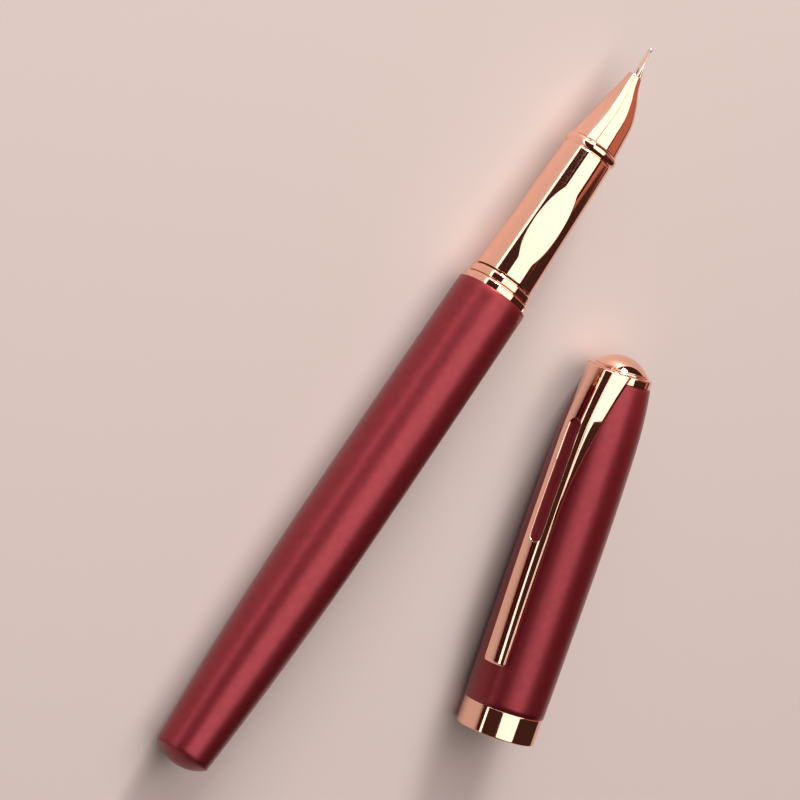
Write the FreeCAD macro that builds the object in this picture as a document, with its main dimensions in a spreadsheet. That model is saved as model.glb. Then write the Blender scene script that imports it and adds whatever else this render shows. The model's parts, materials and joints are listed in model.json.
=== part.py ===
import FreeCAD, Part
import math
import os

import Sketcher

# A slim hooded fountain pen lying beside its pulled-off cap, in millimetres.
#
# Pen pieces are drawn along the pen's own X axis, from the tail's apex at 0 to the nib's point, with +Z on
# the nib's top side. Cap pieces are drawn along the cap's own X axis, from the lip at 0 to the finial, with
# +Z on the clip's side. Two placements then lay the pen and the cap on the ground, Z = 0.

DIMENSIONS = {
    # where the pen and the cap lie
    "pen_tail_x": 58.365, "pen_tail_y": -30.215, "pen_yaw": -20.5, "pen_roll": 87.0,
    "cap_lip_x": 44.445, "cap_lip_y": 27.335, "cap_roll": 74.0,
    # barrel
    "rim_x": 1.6, "rim_r": 4.25, "belly_x": 44.0, "belly_r": 5.65, "mouth_x": 81.5, "mouth_r": 5.525,
    "tail_curve": 643.0, "front_curve": 5625.0,
    "barrel_bore": 4.85, "bore_taper_x": 40.0, "tail_bore": 3.7, "plug_depth": 3.6,
    "bush_bore": 4.25, "bush_length": 11.0,
    # rings at the joint
    "ring_gap": 0.05, "ring_width": 1.05, "ring_neck": 0.25, "ring_bore": 4.27,
    "joint_ring_r": 5.15, "joint_neck_r": 4.75, "collar_ring_r": 4.9, "collar_neck_r": 4.5, "collar_x": 82.9,
    # grip section
    "grip_x": 84.4, "grip_r": 4.675, "grip_front_x": 106.2, "grip_front_r": 3.95, "bead_x": 106.5,
    "bead_end_x": 107.9, "bead_curve": 0.85, "bead_foot_r": 3.86, "shell_bore": 3.2, "edge": 0.15,
    "facet_x": 95.0, "facet_floor": 3.76, "facet_curve": 37.5, "facet_angle": 58.5,
    "neck_x": 71.5, "neck_r": 4.15, "neck_bore": 3.42, "neck_floor_x": 83.6, "core_bore": 2.4,
    "core_front_x": 106.0, "thread_pitch": 1.0, "thread_depth": 0.25, "thread_turns": 6.0,
    "seal_x": 80.6, "seal_wire": 0.3,
    # hood, nib and feed
    "hood_x": 107.95, "hood_r": 3.75, "hood_end_x": 119.9, "hood_end_r": 1.05, "hood_end_rise": 0.95,
    "hood_wall": 0.3,
    "nib_length": 12.6, "nib_curve": 1.3, "nib_sheet": 0.18, "nib_tail_half": 1.05, "nib_hood_half": 0.86,
    "nib_tip_half": 0.25, "nib_tilt": 6.5, "nib_tail_x": 112.0, "nib_tail_drop": 1.1,
    "slit_width": 0.1, "breather_width": 0.34, "breather_length": 1.0, "breather_x": 8.3,
    "tipping_r": 0.34, "tipping_bite": 0.08,
    "feed_x": 106.1, "feed_length": 16.2, "feed_r": 1.05, "feed_tip_r": 0.2, "feed_drop": 1.8,
    "feed_tilt": 9.2,
    "collector_x": 86.2, "collector_r": 2.35, "collector_bore": 0.75, "fin_pitch": 1.6, "fin_count": 10.0,
    "tube_r": 0.7, "tube_bore": 0.35, "nipple_x": 79.4, "nipple_r": 1.9, "nipple_bore": 0.72,
    # converter
    "conv_r": 3.25, "conv_bore": 2.75, "conv_tail_x": 52.0, "conv_front_x": 79.2, "conv_end_x": 83.3,
    "conv_seat_r": 1.95, "sleeve_r": 3.35, "sleeve_x": 39.0, "sleeve_lap": 1.6, "sleeve_bore": 2.3,
    "knob_x": 27.0, "knob_end_x": 38.8, "knob_r": 3.3, "knob_bore": 1.35, "knob_grooves": 16.0,
    "nut_length": 12.8, "rod_r": 1.0, "rod_bore": 1.06, "rod_tail_x": 29.4, "seal_tail_x": 52.6,
    "piston_length": 4.0, "piston_r": 2.69, "ball_r": 0.9, "ball_x": 76.6, "ball_gap": 0.02,
    # cap
    "lip_length": 4.1, "lip_r": 6.05, "lip_bore": 5.25, "lip_spigot": 2.9,
    "tube_lip_r": 6.15, "tube_belly_x": 28.7, "tube_belly_r": 6.3, "tube_turn_x": 46.0, "tube_turn_r": 6.0,
    "tube_end_x": 55.3, "tube_end_r": 5.025, "lip_side_curve": 2017.0, "mid_curve": 500.0, "top_curve": 66.0,
    "tube_bore_r": 5.5, "bore_turn_x": 40.0, "bore_end_r": 4.3,
    "inner_x": 10.2, "inner_r": 5.4, "inner_bore": 4.95, "inner_turn_x": 38.0, "inner_end_x": 47.0,
    "inner_end_r": 4.7, "inner_end_bore": 4.2, "inner_floor": 1.4,
    "clutch_x": 7.2, "clutch_length": 2.8, "clutch_bore": 5.15, "clutch_angle": 330.0,
    "crown_x": 55.3, "crown_r": 4.9, "crown_length": 1.4, "crown_step": 0.3, "crown_step_r": 4.3,
    "crown_bore": 1.55, "dome_r": 4.05, "dome_height": 2.0, "screw_r": 1.5,
    "screw_head_r": 2.6, "screw_head_x": 48.0, "screw_head": 1.8, "bush_x": 49.9, "bush_r": 4.2,
    # clip
    "clip_tip_x": 10.4, "clip_end_x": 56.65, "clip_gap": 0.12, "slot_x": 29.4, "slot_end_x": 48.5,
    "slot_width": 1.9, "slot_floor": 7.45, "slot_over": 12.0, "inlay_sheet": 0.32,
    "foot_x": 11.2, "foot_length": 5.6, "foot_drop": 0.57, "foot_width": 2.6,
}

doc = FreeCAD.newDocument("fountain_pen")
sheet = doc.addObject("Spreadsheet::Sheet", "dims")
for row, (alias, size) in enumerate(DIMENSIONS.items(), start=1):
    sheet.set(f"A{row}", alias)
    sheet.set(f"B{row}", str(size))
    sheet.setAlias(f"B{row}", alias)
doc.recompute()


def bound(expression):
    """The expression with each dimension's name made a reference to the sheet."""
    words = []
    word = ""
    for letter in expression + " ":
        if letter.isalnum() or letter == "_":
            word += letter
            continue
        words.append(f"dims.{word}" if word in DIMENSIONS else word)
        words.append(letter)
        word = ""
    return "".join(words).strip()


def value(expression):
    """What an expression of the sheet's dimensions comes to."""
    return float(sheet.evalExpression(bound(expression)))


def new_body(label):
    body = doc.addObject("PartDesign::Body", label)
    body.Label = label
    return body


def new_sketch(body, name, role, offset=None):
    """An empty sketch on one of the body's origin planes, moved by offset in that plane's own frame."""
    sketch = body.newObject("Sketcher::SketchObject", name)
    plane = next(item for item in body.Origin.OriginFeatures if item.Role == role)
    sketch.AttachmentSupport = (plane, [""])
    sketch.MapMode = "FlatFace"
    if offset:
        sketch.AttachmentOffset = offset
    return sketch


def pin(sketch, edge, end, x, y):
    """Fixes an edge's end at a place given as two expressions."""
    for kind, place in (("DistanceX", x), ("DistanceY", y)):
        name = f"{kind}_{edge}_{end}"
        number = sketch.addConstraint(Sketcher.Constraint(kind, -1, 1, edge, end, value(place)))
        sketch.renameConstraint(number, name)
        sketch.setExpression(f"Constraints.{name}", bound(place))


def arc_between(start, end, radius):
    """An arc from start to end. A positive radius bulges to the left of that direction."""
    middle = (start + end) * 0.5
    along = end - start
    left = FreeCAD.Vector(-along.y, along.x, 0).normalize()
    half = along.Length / 2
    rise = abs(radius) - math.sqrt(radius * radius - half * half)
    return Part.Arc(start, middle + left * math.copysign(rise, radius), end)


def outline(sketch, corners, curves=None):
    """A closed outline through corners. curves gives the radius of each edge that is an arc, by number."""
    curves = curves or {}
    points = [FreeCAD.Vector(value(x), value(y), 0) for x, y in corners]
    count = len(points)
    starts = []
    for edge in range(count):
        start, end = points[edge], points[(edge + 1) % count]
        if edge in curves:
            sketch.addGeometry(arc_between(start, end, value(curves[edge])), False)
            flipped = (sketch.getPoint(edge, 1) - start).Length > 1e-4
            starts.append(2 if flipped else 1)
        else:
            sketch.addGeometry(Part.LineSegment(start, end), False)
            starts.append(1)
    for edge in range(count):
        after = (edge + 1) % count
        sketch.addConstraint(Sketcher.Constraint("Coincident", edge, 3 - starts[edge], after, starts[after]))
    for edge, (x, y) in enumerate(corners):
        pin(sketch, edge, starts[edge], x, y)
    for edge, radius in curves.items():
        name = f"curve_{edge}"
        number = sketch.addConstraint(Sketcher.Constraint("Radius", edge, abs(value(radius))))
        sketch.renameConstraint(number, name)
        sketch.setExpression(f"Constraints.{name}", bound(radius.lstrip("-")))


def circle(sketch, x, y, radius):
    """A circle whose centre and radius are expressions."""
    centre = FreeCAD.Vector(value(x), value(y), 0)
    edge = sketch.addGeometry(Part.Circle(centre, FreeCAD.Vector(0, 0, 1), value(radius)), False)
    pin(sketch, edge, 3, x, y)
    number = sketch.addConstraint(Sketcher.Constraint("Radius", edge, value(radius)))
    sketch.renameConstraint(number, f"radius_{edge}")
    sketch.setExpression(f"Constraints.radius_{edge}", bound(radius))


def turn(body, name, corners, curves=None, kind="Revolution", angle="360"):
    """Turns an outline of (along, radius) corners about the body's X axis, to add or to cut."""
    sketch = new_sketch(body, f"{name}_sketch", "XY_Plane")
    outline(sketch, corners, curves)
    feature = body.newObject(f"PartDesign::{kind}", name)
    feature.Profile = sketch
    feature.ReferenceAxis = (sketch, ["H_Axis"])
    feature.setExpression("Angle", bound(angle))
    return feature


def tube(label, start, end, radius, bore):
    """A plain turned tube, or a rod where the bore is 0."""
    body = new_body(label)
    turn(body, "tube", [(start, bore), (end, bore), (end, radius), (start, radius)])
    return body


def through(feature):
    """Makes a pocket cut all the way, both ways."""
    feature.Type = 0
    feature.Length = 60.0
    feature.Midplane = True


def repeat_along(body, feature, spacing, count):
    """Repeats a feature along the body's X axis."""
    pattern = body.newObject("PartDesign::LinearPattern", f"{feature.Label}_row")
    pattern.Originals = [feature]
    pattern.Direction = (feature.Profile[0], ["H_Axis"])
    pattern.setExpression("Length", f"{bound(spacing)} * ({bound(count)} - 1)")
    pattern.setExpression("Occurrences", bound(count))
    body.Tip = pattern
    return pattern


def repeat_around(body, feature, count):
    """Repeats a feature around the body's X axis."""
    axis = next(item for item in body.Origin.OriginFeatures if item.Role == "X_Axis")
    pattern = body.newObject("PartDesign::PolarPattern", f"{feature.Label}_ring")
    pattern.Originals = [feature]
    pattern.Axis = (axis, [""])
    pattern.Angle = 360.0
    pattern.setExpression("Occurrences", bound(count))
    body.Tip = pattern
    return pattern


# ---------------------------------------------------------------- barrel


def barrel_tube():
    body = new_body("barrel_tube")
    turn(body, "wall", [
        ("rim_x", "tail_bore"), ("rim_x", "rim_r"), ("belly_x", "belly_r"), ("mouth_x", "mouth_r"),
        ("mouth_x", "barrel_bore"), ("bore_taper_x", "barrel_bore"), ("rim_x + plug_depth", "tail_bore"),
    ], {1: "tail_curve", 2: "front_curve"})
    return body


def tail_plug():
    body = new_body("tail_plug")
    turn(body, "dome", [
        ("0", "0"), ("rim_x", "rim_r - 0.05"), ("rim_x", "tail_bore"),
        ("rim_x + plug_depth", "tail_bore - 0.1"), ("rim_x + plug_depth", "0"),
    ], {0: "((rim_r - 0.05) ^ 2 + rim_x ^ 2) / (2 * rim_x)"})
    return body


def thread_bush():
    return tube("thread_bush", "mouth_x - bush_length", "mouth_x - 0.3", "barrel_bore", "bush_bore")


def stepped_ring(label, start, radius, neck_radius):
    """A polished ring with a narrower neck on its nib side, and eased outer edges."""
    body = new_body(label)
    end = f"{start} + ring_width"
    turn(body, "band", [
        (start, "ring_bore"), (start, f"{radius} - edge"), (f"{start} + edge", radius),
        (f"{end} - edge", radius), (end, f"{radius} - edge"), (end, neck_radius),
        (f"{end} + ring_neck", neck_radius), (f"{end} + ring_neck", "ring_bore"),
    ])
    return body


def joint_ring():
    return stepped_ring("joint_ring", "mouth_x + ring_gap", "joint_ring_r", "joint_neck_r")


def collar_ring():
    return stepped_ring("collar_ring", "collar_x", "collar_ring_r", "collar_neck_r")


# ---------------------------------------------------------------- grip section


def grip_shell():
    body = new_body("grip_shell")
    turn(body, "shell", [
        ("grip_x", "shell_bore"), ("grip_x", "grip_r - edge"), ("grip_x + edge", "grip_r"),
        ("grip_front_x", "grip_front_r"), ("bead_x", "bead_foot_r"), ("bead_end_x", "bead_foot_r"),
        ("bead_end_x", "shell_bore"),
    ], {4: "bead_curve"})
    for name, swing in (("right_facet", "90 - facet_angle"), ("left_facet", "90 + facet_angle")):
        turned = FreeCAD.Placement(FreeCAD.Vector(), FreeCAD.Rotation(FreeCAD.Vector(1, 0, 0), value(swing)))
        sketch = new_sketch(body, f"{name}_sketch", "XY_Plane", turned)
        circle(sketch, "facet_x", "facet_floor + facet_curve", "facet_curve")
        facet = body.newObject("PartDesign::Pocket", name)
        facet.Profile = sketch
        through(facet)
    return body


def section_core():
    body = new_body("section_core")
    turn(body, "core", [
        ("neck_x", "neck_bore"), ("neck_x", "neck_r - edge"), ("neck_x + edge", "neck_r"),
        ("grip_x - 0.05", "neck_r"), ("grip_x - 0.05", "shell_bore"), ("core_front_x", "shell_bore"),
        ("core_front_x", "core_bore"), ("collector_x - 0.1", "core_bore"), ("collector_x - 0.1", "nipple_r"),
        ("neck_floor_x", "nipple_r"), ("neck_floor_x", "neck_bore"),
    ])
    groove = turn(body, "thread", [
        ("neck_x + 1", "neck_r + 0.1"), ("neck_x + 1 + thread_pitch / 2", "neck_r - thread_depth"),
        ("neck_x + 1 + thread_pitch", "neck_r + 0.1"),
    ], kind="Groove")
    repeat_along(body, groove, "thread_pitch", "thread_turns")
    turn(body, "seal_seat", [
        ("seal_x - 0.4", "neck_r - seal_wire * 2 + 0.05"), ("seal_x - 0.4", "neck_r + 0.1"),
        ("seal_x + 0.4", "neck_r + 0.1"), ("seal_x + 0.4", "neck_r - seal_wire * 2 + 0.05"),
    ], kind="Groove")
    return body


def seal_ring():
    torus = doc.addObject("Part::Torus", "seal_ring")
    torus.setExpression("Radius1", bound("neck_r - seal_wire + 0.05"))
    torus.setExpression("Radius2", bound("seal_wire"))
    return torus


def collector():
    body = new_body("collector")
    turn(body, "stock", [
        ("collector_x", "collector_bore"), ("core_front_x - 0.4", "collector_bore"),
        ("core_front_x - 0.4", "collector_r"), ("collector_x", "collector_r"),
    ])
    gap = turn(body, "fin_gap", [
        ("collector_x + 1.5", "1.2"), ("collector_x + 2.3", "1.2"),
        ("collector_x + 2.3", "collector_r + 0.1"), ("collector_x + 1.5", "collector_r + 0.1"),
    ], kind="Groove")
    repeat_along(body, gap, "fin_pitch", "fin_count")
    return body


def ink_tube():
    return tube("ink_tube", "collector_x - 0.1", "core_front_x - 0.2", "tube_r", "tube_bore")


def feed_nipple():
    return tube("feed_nipple", "nipple_x", "collector_x - 0.1", "nipple_r", "nipple_bore")


def feed():
    """A tapered rod under the nib, with an ink channel along its top and comb cuts below."""
    body = new_body("feed")
    turn(body, "rod", [
        ("0", "0"), ("0", "feed_r"), ("feed_length", "feed_tip_r"), ("feed_length", "0"),
    ])
    sketch = new_sketch(body, "channel_sketch", "XZ_Plane")
    outline(sketch, [
        ("-1", "feed_r * 0.5"), ("feed_length * 0.4", "feed_r * 0.5"), ("feed_length * 0.4", "feed_r + 0.5"),
        ("-1", "feed_r + 0.5"),
    ])
    channel = body.newObject("PartDesign::Pocket", "channel")
    channel.Profile = sketch
    channel.Type = 0
    channel.Length = 0.3
    channel.Midplane = True
    return body


def hood_stations(shrink):
    """The hood's round sections as (along, rise of the centre, radius), each smaller by shrink."""
    stations = [
        ("hood_x", "0", "hood_r"),
        ("hood_x + 2.85", "-0.12", "hood_r - 0.37"),
        ("hood_x + 5.65", "-0.22", "hood_r - 0.8"),
        ("hood_x + 8.25", "0.15", "hood_r - 1.53"),
        ("hood_x + 10.4", "0.7", "hood_r - 2.3"),
        ("hood_end_x", "hood_end_rise", "hood_end_r"),
    ]
    return [(along, rise, f"{radius} - {shrink}") for along, rise, radius in stations]


def loft(body, name, kind, stations):
    """A loft through round sections across the X axis."""
    sketches = []
    for number, (along, rise, radius) in enumerate(stations):
        offset = FreeCAD.Placement(FreeCAD.Vector(0, 0, value(along)), FreeCAD.Rotation())
        sketch = new_sketch(body, f"{name}_{number}", "YZ_Plane", offset)
        sketch.setExpression("AttachmentOffset.Base.z", bound(along))
        circle(sketch, "0", rise, radius)
        sketches.append(sketch)
    feature = body.newObject(f"PartDesign::{kind}", name)
    feature.Profile = sketches[0]
    feature.Sections = sketches[1:]
    feature.Ruled = False
    return feature


def nib_hood():
    body = new_body("nib_hood")
    loft(body, "shell", "AdditiveLoft", hood_stations("0"))
    loft(body, "hollow", "SubtractiveLoft", hood_stations("hood_wall"))
    return body


def nib():
    """A curved gold blade, rounded over the feed, with a slit and a breather slot."""
    body = new_body("nib")
    sketch = new_sketch(body, "bend_sketch", "YZ_Plane")
    inner = "(nib_curve - nib_sheet)"
    drop = "sqrt(nib_curve ^ 2 - nib_tail_half ^ 2)"
    inner_half = f"nib_tail_half * {inner} / nib_curve"
    inner_drop = f"{drop} * {inner} / nib_curve"
    outline(sketch, [
        ("-nib_tail_half", drop), (inner_half + " * -1", inner_drop), (inner_half, inner_drop),
        ("nib_tail_half", drop),
    ], {1: inner, 3: "-nib_curve"})
    blade = body.newObject("PartDesign::Pad", "blade")
    blade.Profile = sketch
    blade.setExpression("Length", bound("nib_length"))
    far = "nib_tail_half + 1"
    for name, side in (("right_flank", ""), ("left_flank", "-")):
        flank = new_sketch(body, f"{name}_sketch", "XY_Plane")
        outline(flank, [
            ("nib_length - 7", f"{side}(nib_tail_half)"), ("nib_length - 4.3", f"{side}(nib_hood_half)"),
            ("nib_length", f"{side}(nib_tip_half)"), ("nib_length + 1", f"{side}(nib_tip_half)"),
            ("nib_length + 1", f"{side}({far})"), ("nib_length - 7", f"{side}({far})"),
        ])
        cut = body.newObject("PartDesign::Pocket", name)
        cut.Profile = flank
        through(cut)
    breather_end = "breather_x + breather_length"
    slit_sketch = new_sketch(body, "slit_sketch", "XY_Plane")
    outline(slit_sketch, [
        (f"{breather_end} - 0.1", "-slit_width / 2"), ("nib_length + 1", "-slit_width / 2"),
        ("nib_length + 1", "slit_width / 2"), (f"{breather_end} - 0.1", "slit_width / 2"),
    ])
    slit = body.newObject("PartDesign::Pocket", "slit")
    slit.Profile = slit_sketch
    through(slit)
    breather_sketch = new_sketch(body, "breather_sketch", "XY_Plane")
    outline(breather_sketch, [
        ("breather_x", "-breather_width / 2"), (breather_end, "-breather_width / 2"),
        (breather_end, "breather_width / 2"), ("breather_x", "breather_width / 2"),
    ], {1: "-breather_width / 2 * 1.001", 3: "-breather_width / 2 * 1.001"})
    breather = body.newObject("PartDesign::Pocket", "breather")
    breather.Profile = breather_sketch
    through(breather)
    return body


def nib_tipping():
    ball = doc.addObject("Part::Sphere", "nib_tipping")
    ball.setExpression("Radius", bound("tipping_r"))
    return ball


# ---------------------------------------------------------------- converter


def converter_tube():
    return tube("converter_tube", "conv_tail_x", "conv_front_x", "conv_r", "conv_bore")


def converter_mouth():
    body = new_body("converter_mouth")
    turn(body, "seat", [
        ("conv_front_x", "1.2"), ("conv_front_x", "conv_r"), ("conv_end_x", "conv_r"),
        ("conv_end_x", "conv_seat_r"), ("nipple_x - 0.05", "conv_seat_r"), ("nipple_x - 0.05", "1.2"),
    ])
    return body


def converter_sleeve():
    body = new_body("converter_sleeve")
    turn(body, "sleeve", [
        ("sleeve_x", "sleeve_bore"), ("conv_tail_x", "sleeve_bore"), ("conv_tail_x", "conv_r"),
        ("conv_tail_x + sleeve_lap", "conv_r"), ("conv_tail_x + sleeve_lap", "sleeve_r"),
        ("sleeve_x", "sleeve_r"),
    ])
    return body


def agitator_ball():
    ball = doc.addObject("Part::Sphere", "agitator_ball")
    ball.setExpression("Radius", bound("ball_r"))
    return ball


def converter_knob():
    """A grooved knob, hollow for the piston rod."""
    body = new_body("converter_knob")
    turn(body, "knob", [
        ("knob_x", "0"), ("knob_x", "knob_r - 0.5"), ("knob_x + 0.5", "knob_r"), ("knob_end_x", "knob_r"),
        ("knob_end_x", "knob_bore"), ("rod_tail_x - 0.6", "knob_bore"), ("rod_tail_x - 0.6", "0"),
    ])
    sketch = new_sketch(body, "groove_sketch", "YZ_Plane")
    sketch.setExpression("AttachmentOffset.Base.z", bound("knob_x + 1.5"))
    circle(sketch, "0", "knob_r + 0.1", "0.3")
    groove = body.newObject("PartDesign::Pocket", "groove")
    groove.Profile = sketch
    groove.Type = 0
    groove.Reversed = True
    groove.setExpression("Length", bound("knob_end_x - knob_x - 3"))
    repeat_around(body, groove, "knob_grooves")
    return body


def drive_nut():
    return tube("drive_nut", "knob_end_x", "knob_end_x + nut_length", "sleeve_bore - 0.06", "rod_bore")


def piston_rod():
    return tube("piston_rod", "rod_tail_x", "seal_tail_x", "rod_r", "0")


def piston_seal():
    """A rubber plug with two lips."""
    body = new_body("piston_seal")
    waist = "piston_r - 0.45"
    front = "seal_tail_x + piston_length"
    turn(body, "plug", [
        ("seal_tail_x", "0"), ("seal_tail_x", "piston_r"), ("seal_tail_x + 0.8", "piston_r"),
        ("seal_tail_x + 1.2", waist), (f"{front} - 1.2", waist), (f"{front} - 0.8", "piston_r"),
        (front, "piston_r"), (front, "0"),
    ])
    return body


# ---------------------------------------------------------------- cap


def cap_tube():
    body = new_body("cap_tube")
    turn(body, "wall", [
        ("lip_length", "tube_bore_r"), ("lip_length", "tube_lip_r"), ("tube_belly_x", "tube_belly_r"),
        ("tube_turn_x", "tube_turn_r"), ("tube_end_x", "tube_end_r"), ("tube_end_x", "bore_end_r"),
        ("bore_turn_x", "tube_bore_r"),
    ], {1: "lip_side_curve", 2: "mid_curve", 3: "top_curve"})
    return body


def lip_ring():
    body = new_body("lip_ring")
    turn(body, "band", [
        ("0", "lip_bore"), ("0", "lip_r - edge"), ("edge", "lip_r"), ("lip_length - edge", "lip_r"),
        ("lip_length", "lip_r - edge"), ("lip_length", "tube_bore_r"),
        ("lip_length + lip_spigot", "tube_bore_r"), ("lip_length + lip_spigot", "lip_bore"),
    ])
    return body


def clutch_ring():
    body = new_body("clutch_ring")
    turn(body, "spring", [
        ("clutch_x", "clutch_bore + 0.1"), ("clutch_x + clutch_length / 2", "clutch_bore"),
        ("clutch_x + clutch_length", "clutch_bore + 0.1"), ("clutch_x + clutch_length", "tube_bore_r - 0.05"),
        ("clutch_x", "tube_bore_r - 0.05"),
    ], angle="clutch_angle")
    return body


def inner_cap():
    body = new_body("inner_cap")
    turn(body, "liner", [
        ("inner_x", "inner_bore"), ("inner_turn_x", "inner_bore"),
        ("inner_end_x - inner_floor", "inner_end_bore"), ("inner_end_x - inner_floor", "0"),
        ("inner_end_x", "0"), ("inner_end_x", "inner_end_r"), ("inner_turn_x", "inner_r"),
        ("inner_x", "inner_r"),
    ])
    return body


def cap_bush():
    return tube("cap_bush", "bush_x", "tube_end_x", "bush_r", "crown_bore")


def crown_ring():
    body = new_body("crown_ring")
    end = "crown_x + crown_length"
    turn(body, "band", [
        ("crown_x", "crown_bore"), ("crown_x", "crown_r - edge"), ("crown_x + edge", "crown_r"),
        (f"{end} - edge * 2", "crown_r"), (end, "crown_r - edge * 2"), (end, "crown_step_r"),
        (f"{end} + crown_step", "crown_step_r"), (f"{end} + crown_step", "crown_bore"),
    ])
    return body


def finial_dome():
    body = new_body("finial_dome")
    base = "crown_x + crown_length + crown_step"
    turn(body, "dome", [
        (base, "screw_r"), (base, "dome_r"), (f"{base} + dome_height", "0"), (f"{base} + 1", "0"),
        (f"{base} + 1", "screw_r"),
    ], {1: "(dome_r ^ 2 + dome_height ^ 2) / (2 * dome_height)"})
    return body


def finial_screw():
    body = new_body("finial_screw")
    neck = "screw_head_x + screw_head"
    tip = "crown_x + crown_length + crown_step + 1"
    turn(body, "screw", [
        ("screw_head_x", "0"), ("screw_head_x", "screw_head_r"), (neck, "screw_head_r"), (neck, "screw_r"),
        (tip, "screw_r"), (tip, "0"),
    ])
    sketch = new_sketch(body, "driver_slot_sketch", "XY_Plane")
    outline(sketch, [
        ("screw_head_x - 1", "-0.3"), ("screw_head_x + 0.8", "-0.3"), ("screw_head_x + 0.8", "0.3"),
        ("screw_head_x - 1", "0.3"),
    ])
    slot = body.newObject("PartDesign::Pocket", "driver_slot")
    slot.Profile = sketch
    through(slot)
    return body


# ---------------------------------------------------------------- clip


def clip_stations():
    """The clip's sections: along, half width below, half width above, underside, top, crown of the top."""
    return [
        ("clip_tip_x", "1.9", "1.75", "6.75", "7.45", "0.2"),
        ("slot_x - 8", "1.95", "1.8", "6.95", "7.85", "0.25"),
        ("slot_x", "2.0", "1.85", "7.0", "8.0", "0.28"),
        ("slot_x + 9", "2.05", "1.85", "6.8", "8.0", "0.28"),
        ("slot_end_x - 1", "2.9", "1.9", "5.6", "7.8", "0.3"),
        ("tube_end_x - 2.4", "3.5", "1.9", "4.4", "6.8", "0.35"),
        ("clip_end_x", "4.0", "1.9", "3.4", "5.8", "0.4"),
    ]


def clip():
    """A sprung bar with a long shallow slot, its flanks flared at the root to sit over the top of the cap."""
    body = new_body("clip")
    sketches = []
    for number, (along, half, top_half, low, high, crown) in enumerate(clip_stations()):
        sketch = new_sketch(body, f"section_{number}", "YZ_Plane")
        sketch.setExpression("AttachmentOffset.Base.z", bound(along))
        shoulder = f"({high} - {crown})"
        bend = f"(({top_half}) ^ 2 + ({crown}) ^ 2) / (2 * {crown})"
        outline(sketch, [
            (f"-({half})", low), (half, low), (top_half, shoulder), (f"-({top_half})", shoulder),
        ], {2: f"-{bend}"})
        sketches.append(sketch)
    bar = body.newObject("PartDesign::AdditiveLoft", "bar")
    bar.Profile = sketches[0]
    bar.Sections = sketches[1:]
    bar.Ruled = False
    foot_sketch = new_sketch(body, "foot_sketch", "XZ_Plane")
    outline(foot_sketch, [("foot_x", "6.9"), ("foot_x + foot_length", "6.9")], {
        0: "-(foot_length ^ 2 / 4 + foot_drop ^ 2) / (2 * foot_drop)",
    })
    foot = body.newObject("PartDesign::Pad", "foot")
    foot.Profile = foot_sketch
    foot.Midplane = True
    foot.setExpression("Length", bound("foot_width"))
    turn(body, "saddle", [
        ("tube_belly_x", "0"), ("tube_belly_x", "tube_belly_r + clip_gap"),
        ("tube_turn_x", "tube_turn_r + clip_gap"), ("tube_end_x", "tube_end_r + clip_gap"),
        ("clip_end_x + 1", "tube_end_r + clip_gap"), ("clip_end_x + 1", "0"),
    ], {1: "mid_curve", 2: "top_curve"}, kind="Groove")
    over = FreeCAD.Placement(FreeCAD.Vector(0, 0, value("slot_over")), FreeCAD.Rotation())
    slot_sketch = new_sketch(body, "slot_sketch", "XY_Plane", over)
    slot_sketch.setExpression("AttachmentOffset.Base.z", bound("slot_over"))
    pill(slot_sketch, "slot_width / 2")
    slot = body.newObject("PartDesign::Pocket", "slot")
    slot.Profile = slot_sketch
    slot.Type = 0
    slot.setExpression("Length", bound("slot_over - slot_floor"))
    return body


def clip_inlay():
    """A thin coloured strip in the clip's slot."""
    body = new_body("clip_inlay")
    floor = FreeCAD.Placement(FreeCAD.Vector(0, 0, value("slot_floor")), FreeCAD.Rotation())
    sketch = new_sketch(body, "strip_sketch", "XY_Plane", floor)
    sketch.setExpression("AttachmentOffset.Base.z", bound("slot_floor"))
    pill(sketch, "slot_width / 2 - 0.02")
    strip = body.newObject("PartDesign::Pad", "strip")
    strip.Profile = sketch
    strip.setExpression("Length", bound("inlay_sheet"))
    return body


def pill(sketch, half):
    """A long slot's outline with round ends."""
    outline(sketch, [
        (f"slot_x + {half}", f"-({half})"), (f"slot_end_x - {half}", f"-({half})"),
        (f"slot_end_x - {half}", half), (f"slot_x + {half}", half),
    ], {1: f"-({half}) * 1.0001", 3: f"-({half}) * 1.0001"})


# ---------------------------------------------------------------- the pen and the cap laid out


def turned_about(axis, degrees):
    return FreeCAD.Placement(FreeCAD.Vector(), FreeCAD.Rotation(FreeCAD.Vector(*axis), value(degrees)))


def moved(x, y, z):
    return FreeCAD.Placement(FreeCAD.Vector(value(x), value(y), value(z)), FreeCAD.Rotation())


X_AXIS, Y_AXIS, Z_AXIS = (1, 0, 0), (0, 1, 0), (0, 0, 1)
FACE_ABOUT = turned_about(Z_AXIS, "180")

pen_place = moved("pen_tail_x", "pen_tail_y", "belly_r") * turned_about(Z_AXIS, "pen_yaw")
pen_place = pen_place * turned_about(X_AXIS, "pen_roll") * FACE_ABOUT
cap_place = moved("cap_lip_x", "cap_lip_y", "tube_belly_r") * turned_about(X_AXIS, "cap_roll") * FACE_ABOUT

nib_place = pen_place * moved("nib_tail_x", "0", "-nib_tail_drop") * turned_about(Y_AXIS, "-nib_tilt")
tip_place = nib_place * moved(
    "nib_length - tipping_r / 2", "0", "nib_curve - nib_sheet - tipping_r + tipping_bite",
)
feed_place = pen_place * moved("feed_x", "0", "-feed_drop") * turned_about(Y_AXIS, "-feed_tilt")
seal_place = pen_place * moved("seal_x", "0", "0") * turned_about(Y_AXIS, "90")
ball_place = moved("0", "0", "ball_r + ball_gap - conv_bore") * pen_place * moved("ball_x", "0", "0")

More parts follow.
